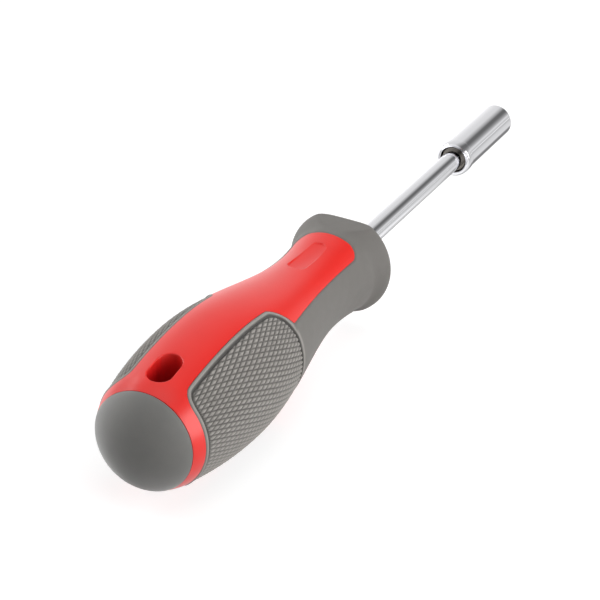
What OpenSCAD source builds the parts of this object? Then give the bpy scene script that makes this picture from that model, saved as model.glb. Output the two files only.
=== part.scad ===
// Screwdriver with a two-colour moulded handle and a quick-release holder for 1/4 inch hexagon bits.
// The pieces are drawn standing up: z runs along the tool's axis from the rear tip of the handle,
// y points up through the red strip and the hanging hole, and x points to the right-hand grip pad.
// place() then lays the tool down: the axis becomes +X, the strip faces +Z and the origin is the mouth.

/* [Handle outline] */
// Height of the end cap's dome
cap_h = 7; // [5:0.5:9]
// Radius of the handle at the seam of the end cap
cap_r = 12.95; // [11.5:0.05:14]
// Distance from the cap's seam to the shoulder
shoulder_len = 5; // [4:0.5:7]
// Radius of the handle at the shoulder
shoulder_r = 14.7; // [13.7:0.1:15.5]
// Distance from the shoulder to the belly
rear_len = 28; // [24:1:34]
// Radius of the handle at the belly, its thickest place
belly_r = 17.85; // [16.5:0.05:19.5]
// Distance from the belly to the neck
waist_len = 54; // [50:1:62]
// Radius of the handle at the neck, its thinnest place
neck_r = 11.25; // [10.6:0.05:12]
// Distance from the neck to the foot of the flange
foot_len = 15; // [13:0.5:18]
// Radius of the handle at the foot of the flange
foot_r = 12.6; // [12.1:0.1:13.2]
// Distance from the foot of the flange to its widest place
flare_len = 6; // [5:0.5:8]
// Radius of the flange
flange_r = 14.75; // [14:0.05:16]
// Rounding of the flange's front edge
flange_edge = 2; // [1.5:0.25:3]
// Distance from the axis to each of the flange's two anti-roll flats
flange_flat = 12.3; // [12.2:0.1:13.2]

/* [Grip] */
// Thickness of the rubber grip
grip_t = 2.2; // [1.6:0.1:2.8]
// Thickness of the rubber end cap
cap_t = 2.4; // [1.6:0.1:3.2]
// Length of the hard ring between the end cap and the pads
ring_len = 3.5; // [3:0.1:5]
// Half width of the strip between the pads
strip_half = 7.3; // [6.6:0.1:8.2]
// Radius of the pads' rear corners
pad_corner = 3.75; // [2.5:0.25:4.5]
// Length of a pad along the strip, up to its front corner
pad_len = 41.7; // [37:0.1:44]
// Length of the slanted front edge, from the pad's front corner to the notch
notch_len = 7.4; // [6.6:0.2:9]
// Angle from the strip's middle to the notch between pad and neck
notch_angle = 50.3; // [48:0.1:55]
// Angle from the strip's middle to its edge along the neck
neck_angle = 47.3; // [42:0.1:48]
// Distance from the foot of the flange back to the strip's front end
strip_end_gap = 3; // [2.5:0.1:4]
// Radius of the strip's front corners
strip_corner = 3.2; // [2:0.1:4]
// Width of the smooth border round a pad's textured field
border_w = 1.6; // [1.2:0.1:2.2]
// Depth of the field below the border
field_depth = 0.5; // [0.3:0.05:0.8]

/* [Hanging hole and thumb groove] */
// Width of the hanging hole
hole_w = 6.4; // [5.6:0.1:7.2]
// Length of the hanging hole
hole_len = 10.4; // [9:0.1:11]
// Distance from the cap's seam to the middle of the hanging hole
hole_pos = 8.7; // [8.4:0.1:11]
// Length of the shallow groove on the neck
groove_len = 17.5; // [13:0.5:20]
// Width of the groove
groove_w = 5.2; // [4:0.1:6]
// Depth of the groove
groove_depth = 0.6; // [0.4:0.05:0.9]
// Distance of the groove's middle behind the neck
groove_back = 1.8; // [1:0.1:4]

/* [Shaft] */
// Diameter of the shaft
shaft_d = 6; // [5.6:0.1:6.4]
// Length of shaft that shows between the handle and the sleeve
shaft_show = 80; // [60:1:110]
// Length of shaft inside the handle
tang_len = 79; // [72:1:86]
// Span across the flattened wings that lock the shaft in the handle
wing_span = 9.4; // [8:0.1:11]
// Thickness of the wings
wing_t = 1.8; // [1.4:0.1:2.4]
// Length of each pair of wings
wing_len = 7; // [5:0.5:10]
// Distance between the two pairs of wings
wing_gap = 24; // [16:1:30]

/* [Bit holder] */
// Width across flats of the bit socket
socket_af = 6.4; // [6.35:0.05:6.5]
// Depth of the bit socket
socket_depth = 13; // [12:0.5:15]
// Diameter of the magnet
magnet_d = 5; // [4:0.1:5.4]
// Thickness of the magnet
magnet_t = 4; // [2.5:0.5:4.5]
// Radius of the chuck body's barrel
barrel_r = 4.1; // [4.05:0.01:4.16]
// Thickness of the stop flange at the chuck body's mouth
stop_t = 2; // [1.6:0.1:2.4]
// Width of the stop flange beyond the barrel
stop_w = 0.65; // [0.5:0.05:0.68]
// Length of the barrel behind the stop flange
barrel_len = 19; // [18.5:0.5:22]
// Radius of the chuck body under the spring
spring_neck_r = 3.7; // [3.6:0.02:3.74]
// Distance of the chuck body's rear end inside the sleeve's rear edge
body_setback = 1; // [0.8:0.1:1.4]
// Diameter of the shaft's spigot in the chuck body
spigot_d = 5; // [4.6:0.1:5.2]
// Length of the shaft's spigot
spigot_len = 15; // [12:0.5:15.5]

/* [Lock] */
// Radius of the locking ball
ball_r = 0.75; // [0.7:0.01:0.78]
// Distance of the ball behind the mouth
ball_pos = 8.5; // [8.5:0.1:9.5]
// How far the locked ball stands into the socket
ball_reach = 0.45; // [0.4:0.01:0.5]
// Travel of the sleeve from locked to open
sleeve_travel = 4; // [3.6:0.1:4]

/* [Release sleeve] */
// Radius of the sleeve
sleeve_r = 5.25; // [5.22:0.01:5.5]
// Radius of the finger rim at the sleeve's rear
rim_r = 5.5; // [5.5:0.02:6]
// Length of the finger rim
rim_len = 3.5; // [3:0.1:5]
// Height of the rim's rounded rear edge
rim_edge = 0.6; // [0.4:0.05:0.65]
// Length of the rim's rounded rear edge
rim_turn = 2; // [1:0.1:2.4]
// Distance of the sleeve's front edge behind the mouth
sleeve_setback = 0.6; // [0.4:0.1:1]
// Length of the sleeve
sleeve_len = 37.4; // [36.5:0.1:40]
// Rounding of the sleeve's front edge
sleeve_edge = 0.3; // [0.1:0.05:0.4]
// Radius of the spring chamber in the sleeve
chamber_r = 4.75; // [4.72:0.01:4.85]
// Length of the edge that is rolled in at the sleeve's rear after assembly
lip_len = 0.8; // [0.6:0.1:1]

/* [Sleeve spring and its seat] */
// Diameter of the spring wire
wire_d = 0.6; // [0.5:0.02:0.64]
// Number of turns of the spring
spring_turns = 6; // [4:1:8]
// Thickness of the washer behind the spring
washer_t = 0.8; // [0.6:0.1:1]
// Thickness of the snap ring
snap_t = 0.7; // [0.5:0.05:0.9]
// Depth of the snap ring's groove
snap_groove = 0.5; // [0.3:0.02:0.6]
// Height of the snap ring above the chuck body
snap_rise = 0.4; // [0.3:0.05:0.6]
// Opening of the snap ring in degrees
snap_gap = 50; // [30:5:80]
// Length of the chuck body behind the snap ring
snap_back = 1.6; // [1.2:0.1:2.2]

/* [Clearances] */
// Radial play of the sleeve on the chuck body
slide_gap = 0.05; // [0.03:0.01:0.08]
// Gap between pieces that are moulded or pressed together
seat_gap = 0.02; // [0.01:0.01:0.03]
// Gap round the ball and the small loose pieces
loose_gap = 0.04; // [0.03:0.01:0.05]

/* [Hidden] */

// Colours as the photo shows them
RED = "#e23a33";
GREY = "#8a8681";
CHROME = "#d7d9da";
STEEL = "#b4b6b8";
DARK = "#55585a";

// A true circle at any number above 12
$fn = 96;
// Overlap of cutting shapes past the faces they cut
cut = 1;
// Reach of cutting shapes past the whole handle
far = 60;

// Stations along the handle
shoulder_z = cap_h + shoulder_len;
belly_z = shoulder_z + rear_len;
neck_z = belly_z + waist_len;
foot_z = neck_z + foot_len;
flange_z = foot_z + flare_len;
handle_len = flange_z + flange_edge;

// Slope of the outline at the seam, at the shoulder and at the foot of the flange
seam_slope = 0.5;
shoulder_slope = 0.22;
foot_slope = 0.12;
// Roundness of the dome: its flat middle and the length of its turn into the seam
dome_flat = 0.56;
dome_turn = 0.3;
// Pull of the pad's front corner along the strip, and of the field's front corner to the side
corner_pull = 0.31;
field_pull = 3.4;
field_turn = 6.4;
// Bend of the thumb groove's floor along the neck and across it, and how far back its lowest place is
groove_run_r = 75;
groove_tube_r = 14;
groove_dip = 3;

// Stations of the grip's outline
pad_z = cap_h + ring_len;
pad_front_z = pad_z + pad_len;
notch_z = pad_front_z + notch_len;
strip_end_z = foot_z - strip_end_gap;

// Stations of the bit holder, counted back from the mouth
mouth_z = handle_len + shaft_show + sleeve_setback + sleeve_len;
stop_r = barrel_r + stop_w;
barrel_end = stop_t + barrel_len;
sleeve_rear = sleeve_setback + sleeve_len;
body_len = sleeve_rear - body_setback;
land_r = barrel_r + slide_gap;
counterbore_r = stop_r + slide_gap;
shoulder_s = barrel_end + wire_d;
snap_s = body_len - snap_back - snap_t;
washer_s = snap_s - loose_gap - washer_t;

// The ball and the cone in the sleeve that presses it in
ball_locked_r = socket_af / 2 - ball_reach + ball_r;
cone_slope = ball_reach / sleeve_travel;
cone_gap = loose_gap + ball_r * sqrt(1 + cone_slope * cone_slope);
cone_r = ball_locked_r + cone_gap;
cone_front = ball_pos - sleeve_travel - slide_gap;
cone_rear = ball_pos + (cone_r - land_r) / cone_slope;
// The recess ahead of the cone that the freed ball moves out into
recess_r = cone_r + cone_slope * (ball_pos - cone_front);
recess_front = ball_pos - sleeve_travel - ball_r - 2 * loose_gap;

spring_r = (spring_neck_r + chamber_r) / 2;
// The rolled edge passes over the snap ring
lip_r = spring_neck_r + snap_rise + loose_gap;
spring_front = shoulder_s + loose_gap;
spring_rear = washer_s - loose_gap;

// Lays the tool down with its mouth at the origin
module place() { rotate([90, 0, 90]) translate([0, 0, -mouth_z]) children(); }

// Turns a height above the mouth plane that is counted backwards into a place on the axis
module behind_mouth(s) { translate([0, 0, mouth_z - s]) children(); }

// Cubic that leaves station a and reaches station b, each given as [z, radius, slope]
function ease(a, b, w) =
    (1 - 3 * w * w + 2 * w * w * w) * a[1] + w * (1 - w) * (1 - w) * (b[0] - a[0]) * a[2]
    + (3 * w * w - 2 * w * w * w) * b[1] - w * w * (1 - w) * (b[0] - a[0]) * b[2];

stations = [
    [cap_h, cap_r, seam_slope], [shoulder_z, shoulder_r, shoulder_slope], [belly_z, belly_r, 0],
    [neck_z, neck_r, 0], [foot_z, foot_r, foot_slope], [flange_z, flange_r, 0]
];

// Number of steps between neighbouring stations
span_steps = [3, 8, 14, 5, 6];

// Radius of the handle at a place between the cap's seam and the flange
function handle_r(z) =
    let (i = max([for (k = [0 : len(stations) - 2]) if (z >= stations[k][0] || k == 0) k]))
    ease(stations[i], stations[i + 1], (z - stations[i][0]) / (stations[i + 1][0] - stations[i][0]));

// Outline from the cap's seam to the flange's widest place, drawn in by a depth
function side_points(depth) = concat(
    [for (i = [0 : len(span_steps) - 1]) for (k = [0 : span_steps[i] - 1])
        let (z = stations[i][0] + (stations[i + 1][0] - stations[i][0]) * k / span_steps[i])
        [handle_r(z) - depth, z]],
    [[flange_r - depth, flange_z]]
);

// Quarter-round front edge of the flange
edge_steps = 8;
function edge_points(depth) = [for (k = [1 : edge_steps])
    let (a = 90 * k / edge_steps)
    [flange_r - depth - flange_edge * (1 - cos(a)), flange_z + flange_edge * sin(a)]];

// Dome of the end cap as a cubic curve from the tip to a seam of radius r and height h
dome_steps = 12;
function dome_point(r, h, w) =
    let (turn = h * dome_turn)
    3 * w * (1 - w) * (1 - w) * [r * dome_flat, 0]
    + 3 * w * w * (1 - w) * [r - turn * seam_slope, h - turn]
    + w * w * w * [r, h];
function dome_points(r, h) = [for (k = [0 : dome_steps]) dome_point(r, h, k / dome_steps)];

// Quadratic curve between two points of the grip's outline
function bend(a, b, c, w) = (1 - w) * (1 - w) * a + 2 * w * (1 - w) * b + w * w * c;

// Turned solid of the whole handle without its dome
module handle_turned() {
    rotate_extrude()
        polygon(concat([[0, cap_h]], side_points(0), edge_points(0), [[0, handle_len]]));
}

// Turned inner part of the core, under the grip
module core_turned() {
    under = [for (p = side_points(grip_t)) if (p[1] > pad_z && p[1] < neck_z) p];
    rotate_extrude()
        polygon(concat([[0, pad_z], [handle_r(pad_z) - grip_t, pad_z]], under,
            [[neck_r - grip_t, neck_z], [neck_r - grip_t, handle_len], [0, handle_len]]));
}

// Angle from the strip's middle to its edge, which closes in from the notch to the neck
function strip_angle(z) =
    let (w = max(neck_z - z, 0) / (neck_z - notch_z))
    neck_angle + (notch_angle - neck_angle) * w * w;

// Right-hand edge of the strip seen from above, from the ring to the strip's front end
bend_steps = 6;
function strip_edge() =
    let (
        notch = [handle_r(notch_z) * sin(notch_angle), notch_z],
        turn_z = strip_end_z - strip_corner,
        end_x = handle_r(turn_z) * sin(neck_angle),
        corner = [strip_half, pad_front_z + notch_len * corner_pull]
    )
    concat(
        [for (k = [0 : bend_steps])
            let (a = 90 * k / bend_steps)
            [strip_half + pad_corner * (1 - sin(a)), pad_z + pad_corner * (1 - cos(a))]],
        [for (k = [0 : bend_steps - 1])
            bend([strip_half, pad_front_z], corner, notch, k / bend_steps)],
        [for (k = [0 : 2 * bend_steps])
            let (z = notch_z + (turn_z - notch_z) * k / (2 * bend_steps))
            [handle_r(z) * sin(strip_angle(z)), z]],
        [for (k = [1 : bend_steps])
            let (a = 90 * k / bend_steps)
            [end_x - strip_corner * (1 - cos(a)), turn_z + strip_corner * sin(a)]]
    );

// Outline mirrored to both sides of the axis
function both_sides(edge) =
    concat(edge, [for (i = [len(edge) - 1 : -1 : 0]) [-edge[i][0], edge[i][1]]]);

// Stands an outline seen from above (x, z) up as a prism through the handle
module seen_from_above(points) {
    translate([0, far / 2, 0]) rotate([90, 0, 0]) linear_extrude(far) polygon(points);
}

// Prism that holds the red strips on top and underneath
module strip_prism() { seen_from_above(both_sides(strip_edge())); }

// Hard parts of the handle seen from outside: strips and rear ring
module hard_zone() {
    union() {
        strip_prism();
        translate([0, 0, cap_h]) cylinder(r = far / 2, h = ring_len);
    }
}

// Outline of a pad's textured field seen from above, for the pad on the right
function field_edge() =
    let (
        side_x = strip_half + border_w,
        front_z = notch_z - border_w,
        corner = pad_corner - border_w / 2,
        rear_z = pad_z + border_w,
        turn = [side_x, pad_front_z + border_w],
        turn_pull = [side_x + field_pull, front_z]
    )
    concat(
        [[far / 2, rear_z]],
        [for (k = [0 : bend_steps])
            let (a = 90 * k / bend_steps)
            [side_x + corner * (1 - sin(a)), rear_z + corner * (1 - cos(a))]],
        [for (k = [0 : bend_steps])
            bend(turn, turn_pull, [side_x + field_turn, front_z], k / bend_steps)],
        [[far / 2, front_z]]
    );

// Shallow pocket of both textured fields
module field_pockets() {
    intersection() {
        difference() {
            cylinder(r = far / 2, h = handle_len);
            rotate_extrude()
                polygon(concat([[0, cap_h]], side_points(field_depth), [[0, flange_z]]));
        }
        union() {
            seen_from_above(field_edge());
            mirror([1, 0, 0]) seen_from_above(field_edge());
        }
    }
}

// Flats on the flange's top and underside that keep the tool from rolling away
module flange_flats() {
    for (side = [0, 1]) mirror([0, side, 0])
        translate([-far / 2, flange_flat, strip_end_z]) cube([far, far / 2, handle_len]);
}

// Slot with round ends through the handle from top to underside, with its middle at z
module slot(width, length, z) {
    reach = (length - width) / 2;
    translate([0, far / 2, z]) rotate([90, 0, 0]) {
        for (side = [-1, 1]) translate([0, side * reach, 0]) cylinder(d = width, h = far);
        translate([-width / 2, -reach, 0]) cube([width, 2 * reach, far]);
    }
}

module hanging_hole() { slot(hole_w, hole_len, cap_h + hole_pos); }

// Shallow groove for the fingertips on the top and underside of the neck: a slot with a hollow floor
module thumb_grooves() {
    for (side = [0, 1]) mirror([0, side, 0]) intersection() {
        slot(groove_w, groove_len, neck_z - groove_back);
        translate([0, neck_r - groove_depth + groove_run_r, neck_z - groove_dip]) rotate([0, 90, 0])
            rotate_extrude() translate([groove_run_r - groove_tube_r, 0]) circle(groove_tube_r);
    }
}

// Shaft inside the handle, widened by a gap for the hole that it fills
module tang(gap) {
    start = handle_len - tang_len;
    translate([0, 0, start - gap]) cylinder(d = shaft_d + 2 * gap, h = tang_len + gap + cut);
    for (i = [0, 1])
        translate([0, 0, start + wing_len * (1 + i) + wing_gap * i - gap])
            translate([-wing_span / 2 - gap, -wing_t / 2 - gap, 0])
                cube([wing_span + 2 * gap, wing_t + 2 * gap, wing_len + 2 * gap]);
}

module handle_core() {
    color(RED) place() difference() {
        union() {
            intersection() {
                handle_turned();
                union() {
                    core_turned();
                    hard_zone();
                }
            }
            rotate_extrude()
                polygon(concat([for (p = dome_points(cap_r - cap_t, cap_h - cap_t)) p + [0, cap_t]],
                    [[cap_r - cap_t, cap_h + cut], [0, cap_h + cut]]));
        }
        hanging_hole();
        thumb_grooves();
        tang(seat_gap);
    }
}

module grip() {
    color(GREY) place() difference() {
        handle_turned();
        core_turned();
        hard_zone();
        field_pockets();
        flange_flats();
    }
}

module end_cap() {
    color(GREY) place() difference() {
        rotate_extrude() polygon(concat(dome_points(cap_r, cap_h), [[0, cap_h]]));
        rotate_extrude()
            polygon(concat([for (p = dome_points(cap_r - cap_t, cap_h - cap_t)) p + [0, cap_t]],
                [[cap_r - cap_t, cap_h + cut], [0, cap_h + cut]]));
    }
}

module shaft() {
    color(CHROME) place() {
        tang(0);
        translate([0, 0, handle_len]) cylinder(d = shaft_d, h = mouth_z - body_len - handle_len);
        behind_mouth(body_len) cylinder(d = spigot_d, h = spigot_len);
    }
}

// Radial hole for the ball, with a narrower lip at the socket that keeps the ball from falling in
module ball_hole() {
    lip_t = 2 * loose_gap;
    lip_depth = ball_locked_r - socket_af / 2 - lip_t;
    hole_r = sqrt(ball_r * ball_r - lip_depth * lip_depth) + seat_gap / 2;
    behind_mouth(ball_pos) rotate([0, 90, 0]) {
        cylinder(r = hole_r, h = barrel_r + cut);
        translate([0, 0, socket_af / 2 + lip_t]) cylinder(r = ball_r + loose_gap, h = barrel_r);
    }
}

module chuck_body() {
    mouth_chamfer = 0.4;
    color(STEEL) place() difference() {
        behind_mouth(0) mirror([0, 0, 1]) rotate_extrude() polygon([
            [0, 0], [stop_r - mouth_chamfer, 0], [stop_r, mouth_chamfer], [stop_r, stop_t], [barrel_r, stop_t],
            [barrel_r, barrel_end], [spring_neck_r, barrel_end],
            [spring_neck_r, snap_s], [spring_neck_r - snap_groove, snap_s],
            [spring_neck_r - snap_groove, snap_s + snap_t + loose_gap],
            [spring_neck_r, snap_s + snap_t + loose_gap], [spring_neck_r, body_len], [0, body_len]
        ]);
        behind_mouth(socket_depth) rotate([0, 0, 30])
            cylinder(d = socket_af / cos(30), h = socket_depth + cut, $fn = 6);
        behind_mouth(socket_depth + magnet_t) cylinder(d = magnet_d + 2 * seat_gap, h = magnet_t + cut);
        behind_mouth(body_len + cut) cylinder(d = spigot_d + 2 * seat_gap, h = spigot_len + seat_gap + cut);
        ball_hole();
    }
}

module magnet() {
    color(DARK) place() behind_mouth(socket_depth + magnet_t) cylinder(d = magnet_d, h = magnet_t);
}

module locking_ball() {
    color(CHROME) place() behind_mouth(ball_pos) translate([ball_locked_r, 0, 0]) sphere(r = ball_r);
}

// Open coil as one tube that winds from the sleeve's shoulder to the washer
wire_sides = 6;
rings_per_turn = 12;
ring_count = spring_turns * rings_per_turn;
coil_rise = spring_rear - spring_front - wire_d;
function coil_ring(i) =
    let (turn = 360 * i / rings_per_turn, s = spring_front + wire_d / 2 + coil_rise * i / ring_count)
    [for (k = [0 : wire_sides - 1])
        let (a = 360 * k / wire_sides, r = spring_r + wire_d / 2 * cos(a))
        [r * cos(turn), r * sin(turn), -s - wire_d / 2 * sin(a)]];
coil_gap = coil_rise / spring_turns - wire_d;
echo(coil_gap = coil_gap);

module sleeve_spring() {
    last = ring_count * wire_sides;
    points = [for (i = [0 : ring_count]) each coil_ring(i)];
    walls = [for (i = [0 : ring_count - 1]) for (k = [0 : wire_sides - 1])
        let (a = i * wire_sides + k, b = i * wire_sides + (k + 1) % wire_sides)
        each [[a, b, b + wire_sides], [a, b + wire_sides, a + wire_sides]]];
    ends = [for (k = [1 : wire_sides - 2]) each [[0, k + 1, k], [last, last + k, last + k + 1]]];
    color(STEEL) place() translate([0, 0, mouth_z]) polyhedron(points, concat(walls, ends));
}

module spring_washer() {
    color(STEEL) place() behind_mouth(washer_s + washer_t) difference() {
        cylinder(r = chamber_r - 2 * loose_gap, h = washer_t);
        translate([0, 0, -cut]) cylinder(r = spring_neck_r + loose_gap, h = washer_t + 2 * cut);
    }
}

module snap_ring() {
    inner = spring_neck_r - snap_groove + seat_gap;
    outer = spring_neck_r + snap_rise;
    color(DARK) place() behind_mouth(snap_s + snap_t) rotate([0, 0, 90 + snap_gap / 2])
        rotate_extrude(angle = 360 - snap_gap) translate([inner, 0]) square([outer - inner, snap_t]);
}

module release_sleeve() {
    rise = rim_r - sleeve_r;
    rim_s = sleeve_rear - rim_len;
    round_steps = 6;
    front = [for (k = [0 : round_steps])
        let (a = 90 * k / round_steps)
        [sleeve_r - sleeve_edge * (1 - sin(a)), sleeve_setback + sleeve_edge * (1 - cos(a))]];
    rear = [for (k = [0 : round_steps])
        let (a = 90 * k / round_steps)
        [rim_r - rim_edge * (1 - cos(a)), sleeve_rear - rim_turn * (1 - sin(a))]];
    bore = [
        [lip_r, sleeve_rear], [lip_r, sleeve_rear - lip_len], [chamber_r, sleeve_rear - lip_len],
        [chamber_r, shoulder_s], [land_r, shoulder_s], [land_r, cone_rear],
        [recess_r, cone_front], [recess_r, recess_front], [land_r, recess_front],
        [land_r, stop_t + loose_gap], [counterbore_r, stop_t + loose_gap], [counterbore_r, sleeve_setback]
    ];
    color(CHROME) place() behind_mouth(0) mirror([0, 0, 1]) rotate_extrude()
        polygon(concat(front, [[sleeve_r, rim_s - rise], [rim_r, rim_s]], rear, bore));
}

handle_core();
grip();
end_cap();
shaft();
chuck_body();
magnet();
locking_ball();
sleeve_spring();
spring_washer();
snap_ring();
release_sleeve();
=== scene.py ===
# %% [markdown]
# # A two-colour screwdriver with a quick-release bit holder
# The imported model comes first, as a fixed frame: its pieces, bodies and joints stay where they are.
# Every visible surface is then made again around it, in metres, with the tool's axis along X,
# the red strip facing up (+Z) and the mouth of the bit socket at the origin.

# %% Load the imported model
import math

import bmesh
import bpy
import numpy as np
from mathutils import Matrix, Vector


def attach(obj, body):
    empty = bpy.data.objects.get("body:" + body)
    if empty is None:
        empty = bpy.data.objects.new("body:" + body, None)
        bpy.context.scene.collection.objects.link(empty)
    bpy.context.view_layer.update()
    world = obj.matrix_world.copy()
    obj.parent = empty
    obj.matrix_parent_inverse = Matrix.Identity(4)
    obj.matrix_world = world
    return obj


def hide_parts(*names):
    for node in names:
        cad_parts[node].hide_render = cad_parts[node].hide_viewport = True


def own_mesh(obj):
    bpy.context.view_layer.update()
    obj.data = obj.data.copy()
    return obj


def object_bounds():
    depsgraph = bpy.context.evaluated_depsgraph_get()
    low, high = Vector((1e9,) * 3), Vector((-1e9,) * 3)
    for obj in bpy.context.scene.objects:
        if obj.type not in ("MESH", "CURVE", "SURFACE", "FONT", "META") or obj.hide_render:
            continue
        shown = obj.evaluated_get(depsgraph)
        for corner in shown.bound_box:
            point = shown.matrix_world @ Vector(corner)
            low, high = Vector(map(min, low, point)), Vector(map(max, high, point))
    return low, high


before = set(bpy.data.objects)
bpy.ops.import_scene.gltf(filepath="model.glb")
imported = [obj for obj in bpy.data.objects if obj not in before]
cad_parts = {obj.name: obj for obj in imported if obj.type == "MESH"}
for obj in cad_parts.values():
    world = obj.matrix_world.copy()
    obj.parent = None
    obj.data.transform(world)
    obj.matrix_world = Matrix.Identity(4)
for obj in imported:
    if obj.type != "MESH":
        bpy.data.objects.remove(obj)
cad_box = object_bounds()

MM = 0.001
REAR_X = cad_box[0].x
print("CAD box in mm:", [[round(c / MM, 2) for c in corner] for corner in cad_box])

# %% [markdown]
# ## The photograph's camera
# A product shot like this is taken from a little above and behind the handle, with a long lens, so that
# the tool doesn't widen much towards the viewer. The camera is written as a photographer would say it:
# what it aims at near the tool's axis, how far away it stands, from which side, how high,
# and how it is tilted.

# %% Camera
AIM_STATION = 89.52 * MM
AIM_HEIGHT = -0.35 * MM
CAMERA_RANGE = 526.2 * MM
CAMERA_AZIMUTH = math.radians(-66.14)
CAMERA_ELEVATION = math.radians(27.87)
CAMERA_ROLL = math.radians(4.22)
LENS = 120.0
SENSOR = 36.0

camera_data = bpy.data.cameras.new("product_camera")
camera_data.lens = LENS
camera_data.sensor_width = SENSOR
camera = bpy.data.objects.new("product_camera", camera_data)
bpy.context.scene.collection.objects.link(camera)
bpy.context.scene.camera = camera
aim = Vector((REAR_X + AIM_STATION, 0, AIM_HEIGHT))
towards_camera = Vector((
    math.sin(CAMERA_AZIMUTH) * math.cos(CAMERA_ELEVATION),
    -math.cos(CAMERA_AZIMUTH) * math.cos(CAMERA_ELEVATION),
    math.sin(CAMERA_ELEVATION),
))
turn = (-towards_camera).to_track_quat("-Z", "Y").to_matrix() @ Matrix.Rotation(CAMERA_ROLL, 3, "Z")
camera.matrix_world = Matrix.Translation(aim + towards_camera * CAMERA_RANGE) @ turn.to_4x4()
print("camera at", [round(c / MM, 1) for c in camera.location])

# %% [markdown]
# ## The handle's outline
# The handle is turned: one curve gives its radius at every station, counted in millimetres from the rear tip.
# Six stations with a radius and a slope are enough, joined by the same cubic that a draughtsman's
# spline uses.

# %% Outline of the handle
STATIONS = [
    (7.0, 12.95, 0.5), (12.0, 14.7, 0.22), (40.0, 17.85, 0.0),
    (94.0, 11.25, 0.0), (109.0, 12.6, 0.12), (115.0, 14.75, 0.0),
]
SEAM_T, SEAM_R, SEAM_SLOPE = STATIONS[0]
BELLY_T = STATIONS[2][0]
NECK_T, NECK_R, _ = STATIONS[3]
FLANGE_T, FLANGE_R, _ = STATIONS[-1]
FLANGE_EDGE = 2.0
HANDLE_LEN = FLANGE_T + FLANGE_EDGE
GRIP_T = 2.2
CORE_R = NECK_R - GRIP_T


def handle_radius(t):
    """Radius of the handle at stations t, in millimetres."""
    t = np.asarray(t, float)
    radius = np.full_like(t, SEAM_R)
    for (t0, r0, m0), (t1, r1, m1) in zip(STATIONS, STATIONS[1:]):
        w = np.clip((t - t0) / (t1 - t0), 0, 1)
        curve = (1 - 3 * w**2 + 2 * w**3) * r0 + w * (1 - w)**2 * (t1 - t0) * m0
        curve = curve + (3 * w**2 - 2 * w**3) * r1 - w**2 * (1 - w) * (t1 - t0) * m1
        radius = np.where(t >= t0, curve, radius)
    return radius


print("belly", float(handle_radius(BELLY_T)), "neck", float(handle_radius(NECK_T)))

# %% [markdown]
# ## Where red meets grey
# The rubber is moulded over the red core, and the line between them is drawn on the skin of the handle.
# It is symmetric left to right and top to bottom, so only the quarter from the middle of the strip
# (angle 0) to the middle of the pad (angle 90 degrees) is drawn, and a mirror makes the rest.

# %% Outline of the strip
PAD_T = 10.5
PAD_FRONT_T = 52.2
NOTCH_T = 59.6
STRIP_END_T = 106.0
STRIP_HALF = 7.3
PAD_CORNER = 3.75
STRIP_CORNER = 3.2
NOTCH_ANGLE = math.radians(50.3)
NECK_ANGLE = math.radians(47.3)
CORNER_PULL = 0.31
CORNER_STEPS = 17
LINE_STEP = 1.0
QUARTER = math.pi / 2


def quadratic(a, b, c, steps):
    """Points of a curve that leaves a towards b and arrives at c."""
    w = np.linspace(0, 1, steps)[:, None]
    return (1 - w)**2 * np.array(a) + 2 * w * (1 - w) * np.array(b) + w**2 * np.array(c)


def strip_outline():
    """The line between red and grey as stations and angles, from the ring to the strip's front end."""
    arc = np.linspace(0, QUARTER, CORNER_STEPS)
    rear_t = PAD_T + PAD_CORNER * (1 - np.cos(arc))
    rear_x = STRIP_HALF + PAD_CORNER * (1 - np.sin(arc))
    rear = np.stack([rear_t, rear_x], axis=1)
    side_t = np.arange(PAD_T + PAD_CORNER + LINE_STEP, PAD_FRONT_T, LINE_STEP)
    side = np.stack([side_t, np.full_like(side_t, STRIP_HALF)], axis=1)
    notch = (NOTCH_T, float(handle_radius(NOTCH_T)) * math.sin(NOTCH_ANGLE))
    corner = (PAD_FRONT_T + (NOTCH_T - PAD_FRONT_T) * CORNER_PULL, STRIP_HALF)
    front = quadratic((PAD_FRONT_T, STRIP_HALF), corner, notch, CORNER_STEPS)
    turn_t = STRIP_END_T - STRIP_CORNER
    neck_t = np.arange(NOTCH_T + LINE_STEP, turn_t, LINE_STEP)
    closing = np.maximum(NECK_T - neck_t, 0) / (NECK_T - NOTCH_T)
    neck_angle = NECK_ANGLE + (NOTCH_ANGLE - NECK_ANGLE) * closing**2
    neck = np.stack([neck_t, handle_radius(neck_t) * np.sin(neck_angle)], axis=1)
    end_x = float(handle_radius(turn_t)) * math.sin(NECK_ANGLE)
    end = np.stack([turn_t + STRIP_CORNER * np.sin(arc), end_x - STRIP_CORNER * (1 - np.cos(arc))], axis=1)
    plan = np.concatenate([rear, side, front, neck, end])
    drawn = np.stack([plan[:, 0], np.arcsin(plan[:, 1] / handle_radius(plan[:, 0]))], axis=1)
    return np.concatenate([[[PAD_T, math.pi]], drawn, [[STRIP_END_T, -math.pi]]])


STRIP = strip_outline()


def rubber_depth(t, angle):
    """Distance over the skin from the line between red and grey: positive on the rubber."""
    radius = handle_radius(t)[:, None]
    start, step = STRIP[:-1], np.diff(STRIP, axis=0)
    along, across = t[:, None] - start[:, 0], radius * (angle[:, None] - start[:, 1])
    step_along, step_across = step[:, 0], radius * step[:, 1]
    w = np.clip((along * step_along + across * step_across) / (step_along**2 + step_across**2), 0, 1)
    distance = np.hypot(along - w * step_along, across - w * step_across).min(axis=1)
    edge = np.interp(t, STRIP[1:-1, 0], STRIP[1:-1, 1])
    rubber = (t > PAD_T) & ((angle > edge) | (t > STRIP_END_T))
    return np.where(rubber, distance, -distance)


print("points on the line between red and grey:", len(STRIP))

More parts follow.
